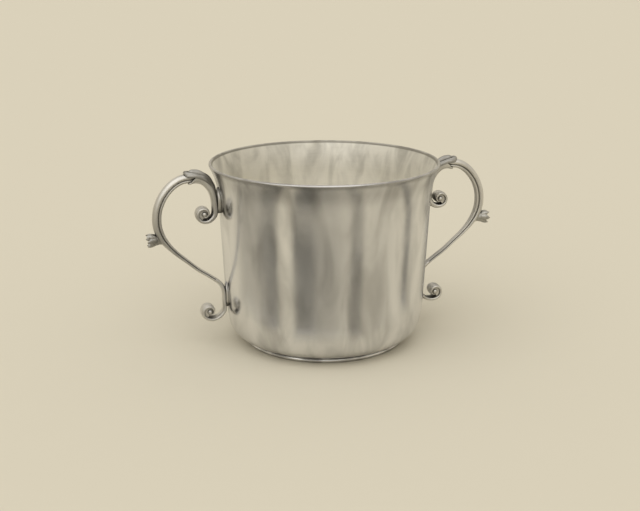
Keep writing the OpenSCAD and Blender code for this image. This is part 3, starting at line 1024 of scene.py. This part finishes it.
def add_camera():
    data = bpy.data.cameras.new("camera")
    data.lens = CAMERA_LENS
    data.clip_start = CLIP_NEAR * MM
    data.clip_end = CLIP_FAR * MM
    camera = add_object("camera", data)
    back = towards_camera(0, cosd(CAMERA_HEIGHT), sind(CAMERA_HEIGHT))
    camera.location = (Vector(CAMERA_TARGET) + back * CAMERA_DISTANCE) * MM
    aimed(camera, -back)
    bpy.context.scene.camera = camera


def light_world():
    """A plain sky that goes on from the paper at the horizon and brightens overhead."""
    world = bpy.data.worlds.new("studio")
    world.use_nodes = True
    tree = world.node_tree
    sky = mix_of(tree, height_of(tree, "Generated"), HORIZON, ZENITH)
    tree.links.new(sky, tree.nodes["Background"].inputs["Color"])
    bpy.context.scene.world = world


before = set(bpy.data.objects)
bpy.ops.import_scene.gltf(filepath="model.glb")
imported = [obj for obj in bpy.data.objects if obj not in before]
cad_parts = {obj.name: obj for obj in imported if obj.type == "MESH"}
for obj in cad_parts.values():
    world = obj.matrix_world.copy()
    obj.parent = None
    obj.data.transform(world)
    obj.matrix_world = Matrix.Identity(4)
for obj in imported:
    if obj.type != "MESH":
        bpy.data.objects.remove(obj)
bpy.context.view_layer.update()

cup_silver = silver(
    "cup_silver",
    clean=(0.80, 0.80, 0.81),
    darkest=(0.40, 0.395, 0.39),
    roughness=(0.13, 0.265),
    bloom=0.65,
    hollow_tarnish_and_shade=0.5,
    # Painted shade in bands: under the flare of the lip, and a darker line along the lip
    shade_bands=[(0.42, CUP_H - 13, CUP_H - 5), (0.5, CUP_H - 3, CUP_H - 1.2)],
)
# The inside: a rougher, satin finish, and a colour lighter than the outside's, painted light that makes up
# for the light the deep inside lacks
inside_silver_painted_light = silver(
    "inside_silver_painted_light",
    clean=(0.95, 0.93, 0.865),
    darkest=(0.33, 0.316, 0.28),
    roughness=(0.6, 0.8),
    bloom=0.33,
    hollow_tarnish_and_shade=0,
    # Painted shade over the upper half of the inside, where more light falls, and a painted dark line inside
    # the lip
    shade_bands=[(0.36, CUP_H / 2, CUP_H), (0.8, CUP_H - 1.4, CUP_H - 0.8)],
    streaks=100,
)
# Silver of the cast pieces, darker than the cup's: partly the duller tarnish of cast silver, partly painted
# shade
cast_silver = silver(
    "cast_silver",
    clean=(0.66, 0.645, 0.61),
    darkest=(0.16, 0.153, 0.138),
    roughness=CAST_ROUGHNESS,
    bloom=0.35,
    hollow_tarnish_and_shade=1,
)
# A darker copy of the cast silver for the bud, painted shade
bud_silver_painted_shade = silver(
    "bud_silver_painted_shade",
    clean=(0.46, 0.45, 0.42),
    darkest=(0.06, 0.056, 0.05),
    roughness=CAST_ROUGHNESS,
    bloom=0.4,
    hollow_tarnish_and_shade=1,
)
# A darker copy of the cast silver for the leaf, painted shade
leaf_silver_painted_shade = silver(
    "leaf_silver_painted_shade",
    clean=(0.36, 0.351, 0.33),
    darkest=(0.03, 0.028, 0.025),
    roughness=CAST_ROUGHNESS,
    bloom=0.3,
    hollow_tarnish_and_shade=1,
    hollow_size=1.4,
)

body = add_piece("body", welded([body_mesh()], cup_silver))
line_cup(body, inside_silver_painted_light)
add_piece("foot_ring", welded([foot_mesh()], cup_silver))
handle = {
    "upper_pad": ([pad_mesh(UPPER_SEAT)], cast_silver),
    "lower_pad": ([pad_mesh(LOWER_SEAT)], cast_silver),
    "upper_scroll": (upper_scroll_shells(), cast_silver),
    "lower_scroll": (lower_scroll_shells(), cast_silver),
    "stem": ([stem_mesh()], cast_silver),
    "acanthus_leaf": ([leaf_mesh()], leaf_silver_painted_shade),
    "bud": ([bud_mesh()], bud_silver_painted_shade),
}
for part, (shells, material) in handle.items():
    mesh = welded(shells, material)
    add_piece("right_" + part, mesh)
    add_piece("left_" + part, half_turn(mesh))

add_floor()
felt = soft_felt()
add_screen("screen_front", facing=0, reach=96, material=felt)
add_screen("screen_back", facing=180, reach=70, material=felt)
light_world()
add_sun("softbox", bearing=-15, height=52, spread=90, strength=1.2)
add_camera()
bpy.context.scene.view_settings.view_transform = "Standard"
